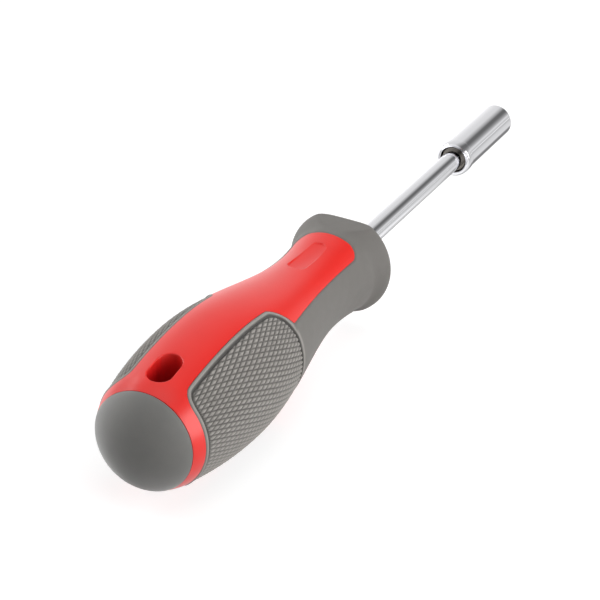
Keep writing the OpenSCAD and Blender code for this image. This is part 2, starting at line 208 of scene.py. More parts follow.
# %% [markdown]
# ## Drawing on a flat skin
# Fine edges on a curved body are hard to cut in space but easy on paper. So each moulded piece starts
# as a flat sheet of small triangles, with the station as its x, the angle as its y, and as its height
# how far each point lies from a line that matters. A level cut through that relief puts a clean row of
# edges along the line. Only then is the sheet rolled up round the axis.

# %% Flat skins and level cuts
CUT_SNAP = 1e-4
MERGE_GAP = 1e-7
DEAD_EDGE = 1e-8
MIRROR_GAP = 2e-6
CREASE = math.radians(35)


def flat_skin(rows, columns):
    """A sheet of triangles over the rows (stations) and a quarter turn in equal columns.

    The diagonals follow the furrows of a diamond texture whose diamonds are four columns by four rows."""
    skin = bmesh.new()
    verts = [[skin.verts.new((q, QUARTER * a / columns, 0)) for a in range(columns + 1)] for q in rows]
    for b in range(len(rows) - 1):
        for a in range(columns):
            corners = [verts[b][a], verts[b + 1][a], verts[b + 1][a + 1], verts[b][a + 1]]
            first = (a // 2 + b // 2 + 1) % 2
            skin.faces.new([corners[first], corners[first + 1], corners[first + 2]])
            skin.faces.new([corners[first], corners[first + 2], corners[(first + 3) % 4]])
    return skin


def flat_places(skin):
    """Stations and angles of a skin's points."""
    places = np.array([v.co[:] for v in skin.verts])
    return places[:, 0], places[:, 1]


def cut_levels(skin, relief, levels, drop_below=None):
    """Cuts the skin along the given levels of relief(t, angle), and drops what lies below one of them."""
    layer = skin.verts.layers.float.new(relief.__name__)
    heights = relief(*flat_places(skin))
    for vert, height in zip(skin.verts, heights):
        vert.co.z = height
        vert[layer] = height
    for level in levels:
        bmesh.ops.bisect_plane(
            skin, geom=skin.verts[:] + skin.edges[:] + skin.faces[:], dist=CUT_SNAP,
            plane_co=(0, 0, level), plane_no=(0, 0, 1), clear_inner=level == drop_below)


def kept_heights(skin, relief):
    """Heights of a relief that was cut earlier: exact on the old points and the cut, even in between."""
    layer = skin.verts.layers.float[relief.__name__]
    return np.array([v[layer] for v in skin.verts])


def finish_mesh(bm, name):
    """Turns a bmesh in metres into a smooth-shaded object with creases where it turns sharply."""
    bmesh.ops.remove_doubles(bm, verts=bm.verts[:], dist=MERGE_GAP)
    bmesh.ops.dissolve_degenerate(bm, edges=bm.edges[:], dist=DEAD_EDGE)
    bmesh.ops.recalc_face_normals(bm, faces=bm.faces[:])
    mesh = bpy.data.meshes.new(name)
    bm.to_mesh(mesh)
    bm.free()
    mesh.shade_smooth()
    mesh.set_sharp_from_angle(angle=CREASE)
    piece = bpy.data.objects.new(name, mesh)
    bpy.context.scene.collection.objects.link(piece)
    print(name, len(mesh.vertices), "points", len(mesh.polygons), "faces")
    return piece


def mirror_quarter(piece):
    """Adds the other three quarters of a moulded piece."""
    mirror = piece.modifiers.new("four_quarters", "MIRROR")
    mirror.use_axis = (False, True, True)
    mirror.use_clip = True
    mirror.merge_threshold = MIRROR_GAP


def rolled(t, radius, angle):
    """Points in metres from stations, radii and angles on the handle."""
    return np.stack([REAR_X + t * MM, radius * np.sin(angle) * MM, radius * np.cos(angle) * MM], axis=1)


# %% [markdown]
# ## The rubber grip
# One shot of thermoplastic rubber makes the two pads, the sides of the neck and the flange. Each pad has
# a smooth raised border and, inside it, a field of small diamonds cut into the mould. The diamonds are
# real geometry: they catch the light one by one, and they show at the silhouette, as no bump map would.

# %% Sizes of the grip's relief
DIAMONDS = 80
DIAMOND_LEN = 3.68
CELLS = 4
GRIP_COLUMNS = DIAMONDS * CELLS // 4
ROW = DIAMOND_LEN / CELLS
GRIP_START = PAD_T - ROW
BORDER_W = 1.15
FIELD_DEPTH = 0.5
DIAMOND_H = 0.45
# Height of the border against the distance from the red, and of the field against the distance inside it
BEAD_AT, BEAD = [0, 0.12, 0.35, 0.6, 0.95, 1.8], [-0.25, -0.02, 0.1, 0.16, 0.1, 0]
BEAD_FADE = 4.0
POCKET_AT, POCKET = [-0.35, -0.15, 0.05, 0.4, 0.7], [0, -0.12, -0.6, -0.75, -FIELD_DEPTH]
TEXTURE_AT = [0.5, 0.85]
# Painted light and shade on the relief: how much paler (painted highlight) or darker (painted shade, below 0)
# its colour is made than the smooth rubber's
BORDER_AT = [-1.1, -0.8, -0.35, -0.15, 0.05, 0.5, 0.8]
BORDER_PAINTED_LIGHT = [0, 0.75, 0.75, 0, -0.55, -0.55, 0]
FURROW_PAINTED_SHADE = -0.38
TOP_PAINTED_HIGHLIGHT = 1.25
FIELD_FRONT_T = NOTCH_T - BORDER_W
FIELD_ROUND = 3.0
EDGE_GAP = 0.02
FLAT = 12.3
FLAT_ROUND = 0.3
FLAT_LEAST_COS = 0.1
ARC_LEN = FLANGE_EDGE * QUARTER
FACE_LEN = FLANGE_R - FLANGE_EDGE - CORE_R
SKIN_END = FLANGE_T + ARC_LEN + FACE_LEN
print("diamonds in a full turn:", DIAMONDS, "each", DIAMOND_LEN, "mm long")


# %% Relief of the grip
def smooth_min(a, b, width):
    """The smaller of two heights, with the crease between them rounded over a width."""
    h = np.clip(0.5 + 0.5 * (b - a) / width, 0, 1)
    return b * (1 - h) + a * h - width * h * (1 - h)


def field_depth(t, angle):
    """Distance inside a pad's textured field, negative outside it."""
    return smooth_min(rubber_depth(t, angle) - BORDER_W, FIELD_FRONT_T - t, FIELD_ROUND)


def diamonds(t, angle):
    """Height of the diamond texture from 0 in the furrows to 1 on the rounded tops."""
    a = angle / QUARTER * GRIP_COLUMNS
    b = (t - GRIP_START) / ROW
    half = CELLS / 2
    u = np.abs((a + half) % CELLS - half)
    v = np.abs((b + half) % CELLS - half)
    return 1 - (1 - np.abs(1 - (u + v) / half))**2


def grip_outside(q, angle, depth, inset):
    """Stations, radii and shades of the grip's outer skin, over the flange's edge and onto its front face.

    The shade is painted light: 0 on the smooth parts, painted shade in the furrows and in the groove inside
    the border, and painted highlights on the tops of the diamonds and on the border's bead."""
    turn_angle = np.clip((q - FLANGE_T) / FLANGE_EDGE, 0, QUARTER)
    t = np.minimum(q, FLANGE_T) + FLANGE_EDGE * np.sin(turn_angle)
    radius = handle_radius(np.minimum(q, FLANGE_T)) - FLANGE_EDGE * (1 - np.cos(turn_angle))
    radius = radius - np.maximum(q - FLANGE_T - ARC_LEN, 0)
    flat = smooth_min(radius, FLAT / np.maximum(np.cos(angle), FLAT_LEAST_COS), FLAT_ROUND)
    radius = np.where(q > STRIP_END_T, flat, radius)
    bead = np.interp(depth, BEAD_AT, BEAD)
    bead = bead * np.interp(q, [STRIP_END_T, STRIP_END_T + BEAD_FADE], [1, 0])
    pocket = np.interp(inset, POCKET_AT, POCKET)
    raised = np.interp(inset, TEXTURE_AT, [0, 1])
    texture = diamonds(q, angle)
    # Painted light: a paler bead, painted shade in the groove inside it and in the furrows, painted
    # highlights on the diamonds' tops
    shade = np.interp(inset, BORDER_AT, BORDER_PAINTED_LIGHT)
    shade = shade + raised * (FURROW_PAINTED_SHADE + (TOP_PAINTED_HIGHLIGHT - FURROW_PAINTED_SHADE) * texture)
    return t, radius + bead + pocket + DIAMOND_H * raised * texture, shade


def grip_inside(q):
    """Stations and radii of the grip's inner skin, which lies on the core."""
    t = np.where(q > FLANGE_T, FLANGE_T + (q - FLANGE_T) / (SKIN_END - FLANGE_T) * FLANGE_EDGE, q)
    radius = np.where(t < NECK_T, handle_radius(np.minimum(t, NECK_T)) - GRIP_T, CORE_R)
    return t, radius


# %% Grip
PAINTED_LIGHT_ATTRIBUTE = "painted_relief_light"
FIELD_PAST = 1.0
NECK_START_T = NOTCH_T + 1.4
NECK_ROWS = 33
FLARE_ROWS = 16
EDGE_ROWS = 10
FACE_ROWS = 3


def two_sided(skin, outside, inside, walled, shade):
    """Rolls a flat skin up twice, as an outer and an inner face, and joins them along its walled points.

    The outer face carries each point's painted light and shade as an attribute."""
    skin.verts.index_update()
    _, angle = flat_places(skin)
    outer = rolled(*outside, angle)
    inner = rolled(*inside, angle)
    rim = [e for e in skin.edges if e.is_boundary]
    rims = [(e.verts[0].index, e.verts[1].index) for e in rim]
    faces = [[v.index for v in f.verts] for f in skin.faces]
    skin.free()
    body = bmesh.new()
    layer = body.verts.layers.float.new(PAINTED_LIGHT_ATTRIBUTE)
    top = [body.verts.new(p) for p in outer]
    for vert, value in zip(top, shade):
        vert[layer] = value
    low = [body.verts.new(p) for p in inner]
    for corners in faces:
        body.faces.new([top[i] for i in corners])
        body.faces.new([low[i] for i in reversed(corners)])
    for i, j in rims:
        if walled[i] and walled[j]:
            body.faces.new([top[i], top[j], low[j], low[i]])
    return body


grip_rows = np.concatenate([
    np.arange(GRIP_START, NOTCH_T + FIELD_PAST, ROW),
    np.linspace(NECK_START_T, STRIP_END_T, NECK_ROWS),
    np.linspace(STRIP_END_T, FLANGE_T, FLARE_ROWS)[1:],
    np.linspace(FLANGE_T, FLANGE_T + ARC_LEN, EDGE_ROWS)[1:],
    np.linspace(FLANGE_T + ARC_LEN, SKIN_END, FACE_ROWS)[1:],
])
grip_skin = flat_skin(grip_rows, GRIP_COLUMNS)
cut_levels(grip_skin, rubber_depth, [EDGE_GAP, *BEAD_AT[1:-1]], drop_below=EDGE_GAP)
cut_levels(grip_skin, field_depth, [*POCKET_AT, TEXTURE_AT[1]])
skin_t, skin_angle = flat_places(grip_skin)
depth, inset = kept_heights(grip_skin, rubber_depth), kept_heights(grip_skin, field_depth)
*outside, shade = grip_outside(skin_t, skin_angle, depth, inset)
grip_body = two_sided(grip_skin, outside, grip_inside(skin_t), depth < 2 * EDGE_GAP, shade)
grip = finish_mesh(grip_body, "grip_rubber")
mirror_quarter(grip)
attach(grip, "handle")
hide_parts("grip")

# %% [markdown]
# ## The red core
# The core is the first shot: hard polypropylene, which shows as the ring behind the pads, as the strip
# along the top and underside and inside the hanging hole. It could be a turned solid with cut pockets,
# but the same flat skin gives the hole its soft moulded lip and the neck its shallow thumb groove
# without any boolean.

# %% Dome of the rear end
CAP_T = 2.4
DOME_FLAT = 0.56
DOME_TURN = 0.3


def dome(radius, height, steps):
    """Stations and radii of a dome from its rim back to its tip."""
    w = np.linspace(1, 0, steps)[:, None]
    turn_len = height * DOME_TURN
    points = 3 * w * (1 - w)**2 * np.array([0, radius * DOME_FLAT])
    points = points + 3 * w**2 * (1 - w) * np.array([height - turn_len, radius - turn_len * SEAM_SLOPE])
    return points + w**3 * np.array([height, radius])


# %% Hanging hole and thumb groove
HOLE_T = 15.7
HOLE_W = 6.4
HOLE_LEN = 10.4
HOLE_LIP = 0.25
GROOVE_T = NECK_T - 1.8
GROOVE_LEN = 17.5
GROOVE_W = 5.2
GROOVE_DEPTH = 0.6
GROOVE_RUN_R = 75.0
GROOVE_TUBE_R = 14.0
GROOVE_DIP_T = NECK_T - 3.0
GROOVE_WALL = 0.3
# The groove's wall is cut at its foot, halfway up and at its edge, and has this share of the depth there
WALL_CUTS = [-GROOVE_WALL, -GROOVE_WALL / 2, 0]
WALL_DEPTHS = [1, 0.6, 0]


def slot_distance(t, angle, middle, width, length):
    """Distance from the edge of a slot with round ends seen from above, negative inside it."""
    across = handle_radius(t) * np.sin(angle)
    along = np.maximum(np.abs(t - middle) - (length - width) / 2, 0)
    return np.hypot(across, along) - width / 2


def hole_distance(t, angle):
    """Distance from the edge of the hanging hole, negative inside it."""
    return slot_distance(t, angle, HOLE_T, HOLE_W, HOLE_LEN)


def groove_distance(t, angle):
    """Distance from the edge of the thumb groove, negative inside it."""
    return slot_distance(t, angle, GROOVE_T, GROOVE_W, GROOVE_LEN)


def core_outside(q, angle, depth):
    """Radii of the core's skin: full size on the red parts, thinner under the rubber."""
    full = handle_radius(q)
    across = full * np.sin(angle)
    run = (q - GROOVE_DIP_T)**2 / (2 * GROOVE_RUN_R)
    sag = across**2 / (2 * GROOVE_TUBE_R)
    groove_z = NECK_R - GROOVE_DEPTH + run + sag
    dip = np.maximum(full * np.cos(angle) - groove_z, 0) * np.cos(angle)
    dip = dip * np.interp(groove_distance(q, angle), WALL_CUTS, WALL_DEPTHS)
    lip = np.clip(HOLE_LIP - hole_distance(q, angle), 0, HOLE_LIP)
    full = full - dip - (HOLE_LIP - np.sqrt(HOLE_LIP**2 - lip**2))
    return np.where(depth > EDGE_GAP / 2, grip_inside(q)[1], full)


# %% Room for the shaft
SHAFT_R = 3.0
TANG_LEN = 79.0
WING_HALF = 4.7
WING_T = 1.8
WING_LEN = 7.0
WING_GAP = 24.0
LEAST_RATIO = 1e-6


def winged(gap):
    """Radius, at any angle, of the shaft where two wings are pressed out of it."""
    def radius(angle):
        side = (WING_HALF + gap) / np.maximum(np.abs(np.sin(angle)), LEAST_RATIO)
        face = (WING_T / 2 + gap) / np.maximum(np.abs(np.cos(angle)), LEAST_RATIO)
        return np.maximum(np.minimum(side, face), SHAFT_R + gap)
    return radius


def tang_rings(gap):
    """Stations and radii of the shaft inside the handle, from its rear end to the front of the handle."""
    start = HANDLE_LEN - TANG_LEN
    rings = [(start - gap, 0), (start - gap, SHAFT_R + gap)]
    for first in (start + WING_LEN, start + 2 * WING_LEN + WING_GAP):
        last = first + WING_LEN
        rings += [(first - gap, SHAFT_R + gap), (first - gap, winged(gap)),
                  (last + gap, winged(gap)), (last + gap, SHAFT_R + gap)]
    return rings + [(HANDLE_LEN, SHAFT_R + gap)]


def ring_radii(radius, angles):
    """Radii of one ring at its angles, from a number or from a function of the angle."""
    return radius(angles) if callable(radius) else np.full_like(angles, radius)


# %% Core
CORE_COLUMNS = 60
CORE_ROW = 1.0
CORE_PAST = 2.0
HOLE_LIP_CUTS = [0.03, 0.08, 0.15, HOLE_LIP]
AT_HOLE = 0.01
INNER_DOME_STEPS = 9


def shell_rings(bm, profile, columns):
    """Quarter rings of a turned surface through stations and radii."""
    angles = np.linspace(0, QUARTER, columns + 1)
    rings = [[bm.verts.new(p) for p in rolled(np.full_like(angles, t), ring_radii(r, angles), angles)]
             for t, r in profile]
    for near, far in zip(rings, rings[1:]):
        for a in range(columns):
            bm.faces.new([near[a], near[a + 1], far[a + 1], far[a]])


core_rows = np.concatenate([np.arange(SEAM_T, STRIP_END_T + CORE_PAST, CORE_ROW), [HANDLE_LEN]])
core_skin = flat_skin(core_rows, CORE_COLUMNS)
cut_levels(core_skin, hole_distance, [0, *HOLE_LIP_CUTS], drop_below=0)
cut_levels(core_skin, groove_distance, WALL_CUTS)
cut_levels(core_skin, rubber_depth, [0, EDGE_GAP])
skin_t, skin_angle = flat_places(core_skin)
depth = kept_heights(core_skin, rubber_depth)
core_points = rolled(skin_t, core_outside(skin_t, skin_angle, depth), skin_angle)
near_hole = kept_heights(core_skin, hole_distance) < AT_HOLE
for vert, point, at_hole in zip(core_skin.verts, core_points, near_hole):
    vert.co = point
    vert.tag = bool(at_hole)
rim = [e for e in core_skin.edges if e.is_boundary and e.verts[0].tag and e.verts[1].tag]
walls = bmesh.ops.extrude_edge_only(core_skin, edges=rim)["geom"]
for element in walls:
    if isinstance(element, bmesh.types.BMVert):
        element.co.z = 0
inner_dome = dome(SEAM_R - CAP_T, SEAM_T - CAP_T, INNER_DOME_STEPS) + np.array([CAP_T, 0])
shell_rings(core_skin, [(SEAM_T, SEAM_R), *inner_dome], CORE_COLUMNS)
shell_rings(core_skin, tang_rings(EDGE_GAP) + [(HANDLE_LEN, CORE_R)], CORE_COLUMNS)
core = finish_mesh(core_skin, "core_plastic")
mirror_quarter(core)
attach(core, "handle")
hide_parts("handle_core")

# %% [markdown]
# ## Turned pieces
# The end cap, the shaft and the parts of the bit holder are all turned on the axis, so each is a list
# of stations and radii. A ring may also be a hexagon, which is how the bit socket is cut into the
# chuck body.

# %% Rings into solids
SIDES = 144
SUPPORT = 0.2
MOUTH_T = -REAR_X / MM


def supported(rings):
    """Adds rings just inside both ends of each straight stretch, so that its shading stays straight."""
    full = [rings[0]]
    for (s0, r0), (s1, r1) in zip(rings, rings[1:]):
        if r0 == r1 and abs(s1 - s0) > 4 * SUPPORT:
            step = math.copysign(SUPPORT, s1 - s0)
            full += [(s0 + step, r0), (s1 - step, r0)]
        full.append((s1, r1))
    return full


def turned(name, rings):
    """A closed solid through rings of (distance behind the mouth in mm, radius)."""
    rings = supported(rings)
    angles = np.linspace(0, 2 * math.pi, SIDES, endpoint=False)
    bm = bmesh.new()
    loops = []
    for s, radius in rings:
        loops.append([bm.verts.new(p) for p in rolled(
            np.full_like(angles, MOUTH_T - s), ring_radii(radius, angles), angles)])
    on_axis = rings[0][1] == 0 and rings[-1][1] == 0
    for near, far in zip(loops, loops[1:] + ([] if on_axis else loops[:1])):
        for a in range(SIDES):
            b = (a + 1) % SIDES
            bm.faces.new([near[a], near[b], far[b], far[a]])
    return finish_mesh(bm, name)


def rounded(s, radius, along, away, steps=7):
    """A rounded corner that starts along mm ahead on the surface and ends away mm nearer the axis."""
    arc = np.linspace(0, QUARTER, steps)
    return [(s - along * (1 - math.sin(a)), radius - away * (1 - math.cos(a))) for a in arc]


# %% [markdown]
# ### End cap
# The cap is a separate thin rubber dome that closes the rear of the handle. A sphere would look too round:
# a cubic curve gives it the flatter top and the quick turn at the seam, and a second one its inside.

# %% End cap
CAP_EDGE = 0.25
CAP_OUTSIDE_STEPS = 28
CAP_INSIDE_STEPS = 12
cap_outside = dome(SEAM_R - EDGE_GAP, SEAM_T - CAP_EDGE, CAP_OUTSIDE_STEPS)
cap_inside = dome(SEAM_R - CAP_T, SEAM_T - CAP_T, CAP_INSIDE_STEPS)
cap = turned("end_cap_rubber", [
    *[(MOUTH_T - t, r) for t, r in cap_outside[::-1]],
    (MOUTH_T - SEAM_T + EDGE_GAP, SEAM_R - CAP_EDGE),
    *[(MOUTH_T - t - CAP_T, r) for t, r in cap_inside],
])
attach(cap, "handle")
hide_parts("end_cap")

# %% [markdown]
# ### Shaft
# The shaft is a drawn steel bar. The handle is moulded round its rear end, where two pairs of wings are
# pressed out so that it can't turn; the core left room for them, so both use the same list of rings.

# %% Shaft
BODY_LEN = 37.0
SPIGOT_R = 2.5
SPIGOT_LEN = 15.0
shaft = turned("drawn_shaft", [
    *[(MOUTH_T - t, r) for t, r in tang_rings(0)],
    (BODY_LEN, SHAFT_R), (BODY_LEN, SPIGOT_R),
    (BODY_LEN - SPIGOT_LEN, SPIGOT_R), (BODY_LEN - SPIGOT_LEN, 0),
])
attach(shaft, "handle")
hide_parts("shaft")

# %% [markdown]
# ## The quick-release bit holder
# A sleeve slides on a chuck body against a spring. Pulled back, it lets a small ball move out of the
# bit's way. Only the sleeve and a dark gap behind it show in the photograph, but the whole mechanism
# is there.

# %% Release sleeve
SLEEVE_FRONT = 0.6
SLEEVE_REAR = 38.0
SLEEVE_R = 5.25
SLEEVE_ROUND = 0.5
RIM_R = 5.5
RIM_LEN = 3.5
RIM_EDGE = 0.6
RIM_TURN = 2.0
RIM_TURN_STEPS = 12
RIM_SOFT = 0.03
RIM_STEP_AT = [-0.3, -0.2, 0, 0.15]
RIM_STEP_R = [SLEEVE_R, SLEEVE_R + RIM_SOFT, RIM_R - RIM_SOFT, RIM_R]
CHAMBER_R = 4.75
LIP_R = 4.14
LIP_LEN = 0.8
LIP_ROUND = 0.3
LAND_R = 4.15
COUNTERBORE_R = 4.8
SLEEVE_SHOULDER = 21.6
CONE_REAR = 9.79
CONE_FRONT = 4.45
RECESS_FRONT = 3.67
COUNTERBORE = 2.04
rim_front = SLEEVE_REAR - RIM_LEN
front_round = [(2 * SLEEVE_FRONT + SLEEVE_ROUND - s, r) for s, r in rounded(
    SLEEVE_FRONT + SLEEVE_ROUND, SLEEVE_R, SLEEVE_ROUND, SLEEVE_ROUND)]
lip_round = [(s, 2 * LIP_R + LIP_ROUND - r) for s, r in rounded(
    SLEEVE_REAR, LIP_R + LIP_ROUND, LIP_ROUND, LIP_ROUND)]
sleeve = turned("release_sleeve_chrome", [
    *front_round[::-1],
    *[(rim_front + at, radius) for at, radius in zip(RIM_STEP_AT, RIM_STEP_R)],
    *rounded(SLEEVE_REAR, RIM_R, RIM_TURN, RIM_EDGE, RIM_TURN_STEPS),
    *lip_round,
    (SLEEVE_REAR - LIP_LEN, LIP_R), (SLEEVE_REAR - LIP_LEN, CHAMBER_R),
    (SLEEVE_SHOULDER, CHAMBER_R), (SLEEVE_SHOULDER, LAND_R),
    (CONE_REAR, LAND_R), (CONE_FRONT, CHAMBER_R),
    (RECESS_FRONT, CHAMBER_R), (RECESS_FRONT, LAND_R),
    (COUNTERBORE, LAND_R), (COUNTERBORE, COUNTERBORE_R), (SLEEVE_FRONT, COUNTERBORE_R),
])
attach(sleeve, "sleeve")
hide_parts("release_sleeve")

# %% [markdown]
# ### Chuck body
# The steel body holds the bit. It is turned like the rest, with a hexagon as the radius of the socket's
# rings. Only the ball's hole runs across the axis, so that one is drilled with a boolean.

# %% Chuck body
SOCKET_FLATS = 6.4
SOCKET_DEPTH = 13.0
SOCKET_LEAD = 0.5
MAGNET_R = 2.5
MAGNET_T = 4.0
STOP_R = 4.75
STOP_T = 2.0
STOP_CHAMFER = 0.4
BARREL_R = 4.1
BARREL_END = 21.0
SPRING_NECK_R = 3.7
SNAP_S = 34.7
SNAP_T = 0.7
SNAP_GROOVE = 0.5
LOOSE = 0.04
BALL_R = 0.75
BALL_S = 8.5
BALL_AXIS_R = 3.5
BALL_LIP_T = 0.08
BALL_HOLE_START = 1.0


def hexagon(angle):
    """Radius of the bit socket at any angle, with flats facing left and right."""
    return SOCKET_FLATS / 2 / np.cos((angle - QUARTER + math.pi / 6) % (math.pi / 3) - math.pi / 6)


def drill(piece, cutter):
    """Cuts one solid away from another for good and removes the cutter."""
    cut = piece.modifiers.new("drill", "BOOLEAN")
    cut.object = cutter
    cut.operation = "DIFFERENCE"
    bpy.context.view_layer.update()
    drilled = bpy.data.meshes.new_from_object(piece.evaluated_get(bpy.context.evaluated_depsgraph_get()))
    piece.modifiers.clear()
    piece.data = drilled
    drilled.set_sharp_from_angle(angle=CREASE)
    bpy.data.objects.remove(cutter)
    print(piece.name, "drilled:", len(drilled.polygons), "faces")


snap_rear = SNAP_S + SNAP_T + LOOSE
mouth_r = SOCKET_FLATS / 2 / math.cos(math.pi / 6) + EDGE_GAP
chuck = turned("chuck_body_steel", [
    (SOCKET_DEPTH + MAGNET_T, 0), (SOCKET_DEPTH + MAGNET_T, MAGNET_R + EDGE_GAP),
    (SOCKET_DEPTH, MAGNET_R + EDGE_GAP), (SOCKET_DEPTH, hexagon), (SOCKET_LEAD, hexagon),
    (0, mouth_r), (0, STOP_R - STOP_CHAMFER), (STOP_CHAMFER, STOP_R), (STOP_T, STOP_R),
    (STOP_T, BARREL_R), (BARREL_END, BARREL_R), (BARREL_END, SPRING_NECK_R),
    (SNAP_S, SPRING_NECK_R), (SNAP_S, SPRING_NECK_R - SNAP_GROOVE),
    (snap_rear, SPRING_NECK_R - SNAP_GROOVE), (snap_rear, SPRING_NECK_R),
    (BODY_LEN, SPRING_NECK_R), (BODY_LEN, SPIGOT_R + EDGE_GAP),
    (BODY_LEN - SPIGOT_LEN - EDGE_GAP, SPIGOT_R + EDGE_GAP), (BODY_LEN - SPIGOT_LEN - EDGE_GAP, 0),
])
lip_depth = BALL_AXIS_R - SOCKET_FLATS / 2 - BALL_LIP_T
lip_r = math.sqrt(BALL_R**2 - lip_depth**2) + EDGE_GAP / 2
lip_s = SOCKET_FLATS / 2 + BALL_LIP_T
ball_hole = turned("ball_hole", [
    (-BALL_HOLE_START, 0), (-BALL_HOLE_START, lip_r), (-lip_s, lip_r),
    (-lip_s, BALL_R + LOOSE), (-STOP_R, BALL_R + LOOSE), (-STOP_R, 0)])
ball_hole.matrix_world = Matrix.Translation((-BALL_S * MM, 0, 0)) @ Matrix.Rotation(QUARTER, 4, "Z")
drill(chuck, ball_hole)
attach(chuck, "handle")
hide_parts("chuck_body")

# %% [markdown]
# ### Magnet and ball
# The magnet fills the bottom of the socket and keeps a bit from falling out; the ball locks it.
# A chamfered disc and a plain sphere are all they are, and the ball rides on a body of its own.

# %% Magnet and ball
MAGNET_CHAMFER = 0.25
BALL_SIDES = 32
magnet_rear = SOCKET_DEPTH + MAGNET_T
magnet = turned("magnet_nickel", [
    (magnet_rear, 0), (magnet_rear, MAGNET_R - MAGNET_CHAMFER), (magnet_rear - MAGNET_CHAMFER, MAGNET_R),
    (SOCKET_DEPTH + MAGNET_CHAMFER, MAGNET_R), (SOCKET_DEPTH, MAGNET_R - MAGNET_CHAMFER), (SOCKET_DEPTH, 0)])
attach(magnet, "handle")
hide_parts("magnet")

ball_mesh = bmesh.new()
bmesh.ops.create_uvsphere(
    ball_mesh, u_segments=BALL_SIDES, v_segments=BALL_SIDES // 2, radius=BALL_R * MM,
    matrix=Matrix.Translation((-BALL_S * MM, BALL_AXIS_R * MM, 0)))
ball = finish_mesh(ball_mesh, "locking_ball_steel")
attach(ball, "ball")
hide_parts("locking_ball")

# %% [markdown]
# ## Wound pieces
# The spring and the snap ring are bars wound round the axis. A helper carries a small section along
# a turn: a round section and a rising station give the spring, a flat section and one open turn the
# snap ring. The spring can't follow the sleeve as a rigid piece, so it is given a mesh of its own.

# %% Spring
WIRE_D = 0.6
WIRE_SIDES = 12
SPRING_R = 4.225
SPRING_FRONT = 21.64
SPRING_REAR = 33.82
SPRING_TURNS = 6
RINGS_PER_TURN = 48


def wound(name, angles, places, radius, section):
    """A bar wound round the axis, whose section has points of (mm back along the axis, mm away from it)."""
    bm = bmesh.new()
    rings = []
    for angle, s in zip(angles, places):
        points = [rolled(np.array([MOUTH_T - s - back]), np.array([radius + away]), np.array([angle]))[0]
                  for back, away in section]
        rings.append([bm.verts.new(p) for p in points])
    count = len(section)
    for near, far in zip(rings, rings[1:]):
        for k in range(count):
            bm.faces.new([near[k], near[(k + 1) % count], far[(k + 1) % count], far[k]])
    bm.faces.new(rings[0])
    bm.faces.new(rings[-1])
    return finish_mesh(bm, name)


ring_count = SPRING_TURNS * RINGS_PER_TURN + 1
wire_angles = np.linspace(0, 2 * math.pi, WIRE_SIDES, endpoint=False)
wire = [(WIRE_D / 2 * math.sin(a), WIRE_D / 2 * math.cos(a)) for a in wire_angles]
spring = wound(
    "sleeve_spring_wire", np.linspace(QUARTER, QUARTER + 2 * math.pi * SPRING_TURNS, ring_count),
    np.linspace(SPRING_FRONT + WIRE_D / 2, SPRING_REAR - WIRE_D / 2, ring_count), SPRING_R, wire)
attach(spring, "handle")
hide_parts("sleeve_spring")
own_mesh(spring)

# %% [markdown]
# ### Washer and snap ring
# The spring stands on a washer, and an open ring in a groove of the chuck body holds the washer. A torus
# would be too soft for either: their blanked edges are flat with a small chamfer.

# %% Washer and snap ring
WASHER_T = 0.8
WASHER_EDGE = 0.1
SNAP_INNER_R = 3.22
SNAP_OUTER_R = 4.1
SNAP_GAP = math.radians(50)
SNAP_STEPS = 97
washer_s = SNAP_S - LOOSE - WASHER_T
washer_rear = washer_s + WASHER_T
washer_in = SPRING_NECK_R + LOOSE
washer_out = CHAMBER_R - 2 * LOOSE
washer = turned("spring_washer_steel", [
    (washer_s, washer_in),
    (washer_s, washer_out - WASHER_EDGE), (washer_s + WASHER_EDGE, washer_out),
    (washer_rear - WASHER_EDGE, washer_out), (washer_rear, washer_out - WASHER_EDGE),
    (washer_rear, washer_in)])
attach(washer, "handle")
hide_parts("spring_washer")

snap_half = (SNAP_OUTER_R - SNAP_INNER_R) / 2
bar = [(0, -snap_half), (SNAP_T, -snap_half), (SNAP_T, snap_half - WASHER_EDGE),
       (SNAP_T - WASHER_EDGE, snap_half), (WASHER_EDGE, snap_half), (0, snap_half - WASHER_EDGE)]
snap_angles = np.linspace(SNAP_GAP / 2, 2 * math.pi - SNAP_GAP / 2, SNAP_STEPS)
snap_ring = wound("snap_ring_steel", snap_angles, np.full_like(snap_angles, SNAP_S),
                  SNAP_INNER_R + snap_half, bar)
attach(snap_ring, "handle")
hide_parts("snap_ring")

# %% [markdown]
# ## Materials
# Colours are written as a paint chip would be, in sRGB, and turned to linear light by one function.
# Each pattern's scale is worked out from a size in millimetres.

# %% Helpers for materials
def linear(code):
    """Turns an sRGB hex colour such as 8a8681 into linear values."""
    parts = [int(code[i:i + 2], 16) / 255 for i in (0, 2, 4)]
    return [c / 12.92 if c <= 0.04045 else ((c + 0.055) / 1.055)**2.4 for c in parts] + [1.0]


def add_node(tree, kind, inputs=None, **settings):
    """Adds one node, sets its settings, and fills or links its inputs."""
    node = tree.nodes.new(kind)
    for name, value in settings.items():
        setattr(node, name, value)
    for name, value in (inputs or {}).items():
        if isinstance(value, bpy.types.NodeSocket):
            tree.links.new(value, node.inputs[name])
        else:
            node.inputs[name].default_value = value
    return node


def new_material(name, **sockets):
    """A material with one principled shader whose even values are set on its own sockets."""
    made = bpy.data.materials.new(name)
    made.use_nodes = True
    shader = made.node_tree.nodes["Principled BSDF"]
    for key, value in sockets.items():
        shader.inputs[key.replace("_", " ")].default_value = value
    return made, made.node_tree, shader


def per_mm(size):
    """Texture scale for a pattern whose features are this many millimetres apart."""
    return 1 / (size * MM)


# %% [markdown]
# ### Moulded polypropylene
# The core is red polypropylene from a lightly etched mould. That gives the eye a satin skin of even colour
# with a soft, broad gloss. A plain colour with one roughness would look like paint, so a fine grain
# varies the gloss and the surface a little.

# %% Moulded polypropylene
FLOW_MM = 9.0
# The etched grain is about 0.1 mm; it is drawn at 0.4 mm so that it shows at all
ETCH_MM = 0.4
ETCH_DEPTH = 0.02
OPEN_SKY = 0.85
SKY_SAMPLES = 8


